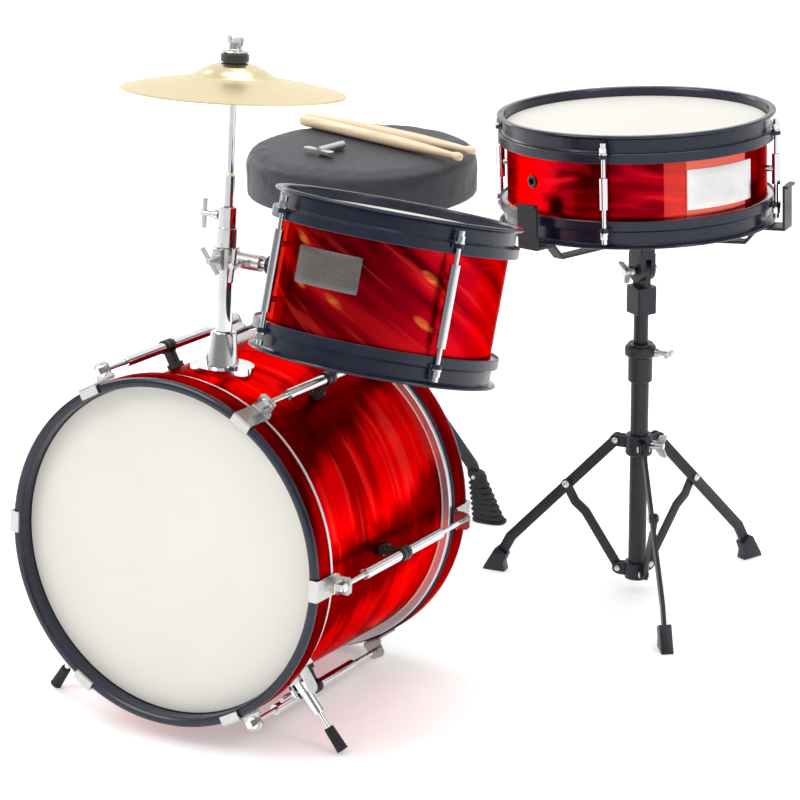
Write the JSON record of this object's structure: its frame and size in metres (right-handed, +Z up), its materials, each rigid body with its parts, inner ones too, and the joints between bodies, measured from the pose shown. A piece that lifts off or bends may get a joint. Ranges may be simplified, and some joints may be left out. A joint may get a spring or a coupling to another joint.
{
  "type": "acoustic drum kit",
  "caption": "Junior acoustic drum kit: bass drum, tom, snare drum on a folding stand, cymbal, pedal, folding throne, sticks and key.",
  "frame": {"origin": "centre of the kit's footprint on the floor", "axes": "+Z up, +Y from the audience side towards the player, +X towards the snare drum"},
  "size_m": [0.6518, 0.799, 0.6277],
  "materials": {
    "wrap_red": "glossy metallic wrap",
    "head_white": "satin coated film on a metal flesh hoop",
    "hoop_black": "gloss black",
    "chrome": "polished",
    "black_plastic": "moulded",
    "cymbal_bronze": "lathed, satin",
    "felt_black": "pressed felt",
    "stand_black": "satin powder coat",
    "throne_vinyl": "grained vinyl",
    "steel": "drawn",
    "stick_wood": "bare maple"
  },
  "bodies": {
    "kit_base": {"bass_shell": "wrap_red", "bass_heads": "head_white", "bass_hoops": "hoop_black", "bass_claws": "chrome", "bass_tension_rods": "chrome", "bass_lug_tubes": "chrome", "bass_lug_saddles": "black_plastic", "spur_brackets": "chrome", "holder_flange": "chrome", "holder_post": "chrome", "clamp_wing_bolts": "chrome", "stand_main_tube": "stand_black", "throne_main_tube": "stand_black", "pedal_frame": "stand_black", "pedal_spring": "steel"},
    "spur_left": {"spur_left": "chrome"},
    "spur_right": {"spur_right": "chrome"},
    "tom_arm": {"tom_arm": "chrome", "tom_arm_bolts": "chrome"},
    "tom": {"tom_bracket": "chrome", "tom_shell": "wrap_red", "tom_heads": "head_white", "tom_hoops": "hoop_black", "tom_rods": "chrome", "tom_lug_tubes": "chrome"},
    "cymbal_rod": {"cymbal_rod": "chrome", "cymbal_wing_nut": "chrome"},
    "cymbal_felts": {"cymbal_felts": "felt_black"},
    "cymbal": {"cymbal": "cymbal_bronze"},
    "stand_upper": {"stand_upper_tube": "stand_black", "stand_tilter_bolt": "chrome"},
    "stand_basket": {"stand_basket": "stand_black"},
    "snare": {"snare_shell": "wrap_red", "snare_heads": "head_white", "snare_hoops": "hoop_black", "snare_rods": "chrome", "snare_lug_tubes": "chrome", "snare_wires": "steel", "snare_strainer": "chrome"},
    "stand_collar": {"stand_collar": "stand_black", "stand_collar_bolt": "chrome"},
    "stand_leg_front": {"stand_leg_front": "stand_black"},
    "stand_brace_front": {"stand_brace_front": "stand_black"},
    "stand_leg_right": {"stand_leg_right": "stand_black"},
    "stand_brace_right": {"stand_brace_right": "stand_black"},
    "stand_leg_left": {"stand_leg_left": "stand_black"},
    "stand_brace_left": {"stand_brace_left": "stand_black"},
    "throne_collar": {"throne_collar": "stand_black"},
    "throne_leg_a": {"throne_leg_a": "stand_black"},
    "throne_brace_a": {"throne_brace_a": "stand_black"},
    "throne_leg_b": {"throne_leg_b": "stand_black"},
    "throne_brace_b": {"throne_brace_b": "stand_black"},
    "throne_leg_c": {"throne_leg_c": "stand_black"},
    "throne_brace_c": {"throne_brace_c": "stand_black"},
    "throne_post": {"throne_post": "stand_black"},
    "throne_seat": {"throne_seat": "throne_vinyl"},
    "drumsticks": {"drumsticks": "stick_wood"},
    "drum_key": {"drum_key": "chrome"},
    "pedal_footboard": {"pedal_footboard": "stand_black"},
    "pedal_beater": {"pedal_beater": "stand_black"}
  },
  "joints": [
    {"name": "spur_left_fold", "type": "hinge", "parent": "kit_base", "child": "spur_left", "pos_m": [-0.17263, -0.33787, 0.05764], "axis": [0.8194, -0.0376, -0.5721], "range_deg": [0, 80]},
    {"name": "spur_right_fold", "type": "hinge", "parent": "kit_base", "child": "spur_right", "pos_m": [0.06779, -0.33787, 0.05764], "axis": [0.8194, 0.0376, 0.5721], "range_deg": [0, 80]},
    {"name": "tom_swivel", "type": "hinge", "parent": "kit_base", "child": "tom_arm", "pos_m": [-0.05242, -0.25899, 0.42769], "axis": [0, 0.1267, 0.9919], "range_deg": [-30, 12]},
    {"name": "tom_tilt", "type": "hinge", "parent": "tom_arm", "child": "tom", "pos_m": [0.00735, -0.26425, 0.4279], "axis": [0.9961, -0.0878, 0.0035], "range_deg": [-10, 25]},
    {"name": "cymbal_height", "type": "slide", "parent": "kit_base", "child": "cymbal_rod", "axis": [0, 0.1267, 0.9919], "range_m": [-0.025, 0.04]},
    {"name": "cymbal_tilt", "type": "hinge", "parent": "cymbal_rod", "child": "cymbal_felts", "pos_m": [-0.05242, -0.23701, 0.59969], "axis": [1, 0, 0], "range_deg": [-5, 5]},
    {"name": "cymbal_spin", "type": "hinge", "parent": "cymbal_felts", "child": "cymbal", "pos_m": [-0.05242, -0.2398, 0.57787], "axis": [0, 0.1267, 0.9919], "continuous": true},
    {"name": "stand_height", "type": "slide", "parent": "kit_base", "child": "stand_upper", "axis": [0, 0, 1], "range_m": [-0.03, 0.06]},
    {"name": "basket_tilt", "type": "hinge", "parent": "stand_upper", "child": "stand_basket", "pos_m": [0.17708, 0.14612, 0.343], "axis": [0.5, 0.866, 0], "range_deg": [-20, 20]},
    {"name": "snare_lift_off", "type": "slide", "parent": "stand_basket", "child": "snare", "axis": [-0.0459, 0.03, 0.9985], "range_m": [0, 0.15]},
    {"name": "stand_fold", "type": "slide", "parent": "kit_base", "child": "stand_collar", "axis": [0, 0, 1], "range_m": [0, 0.03812]},
    {"name": "stand_leg_front_swing", "type": "hinge", "parent": "stand_collar", "child": "stand_leg_front", "pos_m": [0.19088, 0.12648, 0.1615], "axis": [0.8181, 0.575, 0], "range_deg": [0, 37.93]},
    {"name": "stand_brace_front_swing", "type": "hinge", "parent": "kit_base", "child": "stand_brace_front", "pos_m": [0.18772, 0.13098, 0.024], "axis": [-0.8181, -0.575, 0], "range_deg": [0, 27.34]},
    {"name": "stand_leg_right_swing", "type": "hinge", "parent": "stand_collar", "child": "stand_leg_right", "pos_m": [0.18718, 0.16789, 0.1615], "axis": [-0.907, 0.421, 0], "range_deg": [0, 37.93]},
    {"name": "stand_brace_right_swing", "type": "hinge", "parent": "kit_base", "child": "stand_brace_right", "pos_m": [0.18487, 0.1629, 0.024], "axis": [0.907, -0.421, 0], "range_deg": [0, 27.34]},
    {"name": "stand_leg_left_swing", "type": "hinge", "parent": "stand_collar", "child": "stand_leg_left", "pos_m": [0.15318, 0.14399, 0.1615], "axis": [0.0889, -0.996, 0], "range_deg": [0, 37.93]},
    {"name": "stand_brace_left_swing", "type": "hinge", "parent": "kit_base", "child": "stand_brace_left", "pos_m": [0.15865, 0.14447, 0.024], "axis": [-0.0889, 0.996, 0], "range_deg": [0, 27.34]},
    {"name": "throne_fold", "type": "slide", "parent": "kit_base", "child": "throne_collar", "axis": [0, 0, 1], "range_m": [0, 0.03684]},
    {"name": "throne_leg_a_swing", "type": "hinge", "parent": "throne_collar", "child": "throne_leg_a", "pos_m": [-0.17344, 0.24906, 0.191], "axis": [-0.0349, 0.9994, 0], "range_deg": [0, 29.24]},
    {"name": "throne_brace_a_swing", "type": "hinge", "parent": "kit_base", "child": "throne_brace_a", "pos_m": [-0.17943, 0.24885, 0.04], "axis": [0.0349, -0.9994, 0], "range_deg": [0, 25.36]},
    {"name": "throne_leg_b_swing", "type": "hinge", "parent": "throne_collar", "child": "throne_leg_b", "pos_m": [-0.21473, 0.27102, 0.191], "axis": [-0.848, -0.5299, 0], "range_deg": [0, 29.24]},
    {"name": "throne_brace_b_swing", "type": "hinge", "parent": "kit_base", "child": "throne_brace_b", "pos_m": [-0.21155, 0.26593, 0.04], "axis": [0.848, 0.5299, 0], "range_deg": [0, 25.36]},
    {"name": "throne_leg_c_swing", "type": "hinge", "parent": "throne_collar", "child": "throne_leg_c", "pos_m": [-0.2131, 0.22428, 0.191], "axis": [0.8829, -0.4695, 0], "range_deg": [0, 29.24]},
    {"name": "throne_brace_c_swing", "type": "hinge", "parent": "kit_base", "child": "throne_brace_c", "pos_m": [-0.21028, 0.22958, 0.04], "axis": [-0.8829, 0.4695, 0], "range_deg": [0, 25.36]},
    {"name": "throne_height", "type": "slide", "parent": "kit_base", "child": "throne_post", "axis": [0, 0, 1], "range_m": [-0.025, 0.04]},
    {"name": "throne_spin", "type": "hinge", "parent": "throne_post", "child": "throne_seat", "pos_m": [-0.20042, 0.24812, 0.35], "axis": [0, 0, 1], "continuous": true},
    {"name": "sticks_lift_off", "type": "slide", "parent": "throne_seat", "child": "drumsticks", "axis": [0, 0, 1], "range_m": [0, 0.15]},
    {"name": "key_lift_off", "type": "slide", "parent": "throne_seat", "child": "drum_key", "axis": [0, 0, 1], "range_m": [0, 0.15]},
    {"name": "pedal_press", "type": "hinge", "parent": "kit_base", "child": "pedal_footboard", "pos_m": [-0.05242, 0.05812, 0.014], "axis": [1, 0, 0], "range_deg": [0, 11], "stiffness_Nm_per_rad": 3, "springref_deg": -6.88},
    {"name": "beater_swing", "type": "hinge", "parent": "kit_base", "child": "pedal_beater", "pos_m": [-0.05242, -0.07188, 0.09], "axis": [1, 0, 0], "range_deg": [0, 46.4], "deforming": ["pedal_spring"]}
  ],
  "couplings": [
    {"joint": "stand_leg_front_swing", "follows": "stand_fold", "rad_per_m": 17.364},
    {"joint": "stand_brace_front_swing", "follows": "stand_fold", "rad_per_m": 12.514},
    {"joint": "stand_leg_right_swing", "follows": "stand_fold", "rad_per_m": 17.364},
    {"joint": "stand_brace_right_swing", "follows": "stand_fold", "rad_per_m": 12.514},
    {"joint": "stand_leg_left_swing", "follows": "stand_fold", "rad_per_m": 17.364},
    {"joint": "stand_brace_left_swing", "follows": "stand_fold", "rad_per_m": 12.514},
    {"joint": "throne_leg_a_swing", "follows": "throne_fold", "rad_per_m": 13.853},
    {"joint": "throne_brace_a_swing", "follows": "throne_fold", "rad_per_m": 12.016},
    {"joint": "throne_leg_b_swing", "follows": "throne_fold", "rad_per_m": 13.853},
    {"joint": "throne_brace_b_swing", "follows": "throne_fold", "rad_per_m": 12.016},
    {"joint": "throne_leg_c_swing", "follows": "throne_fold", "rad_per_m": 13.853},
    {"joint": "throne_brace_c_swing", "follows": "throne_fold", "rad_per_m": 12.016},
    {"joint": "beater_swing", "follows": "pedal_press", "ratio": 4.2182}
  ]
}
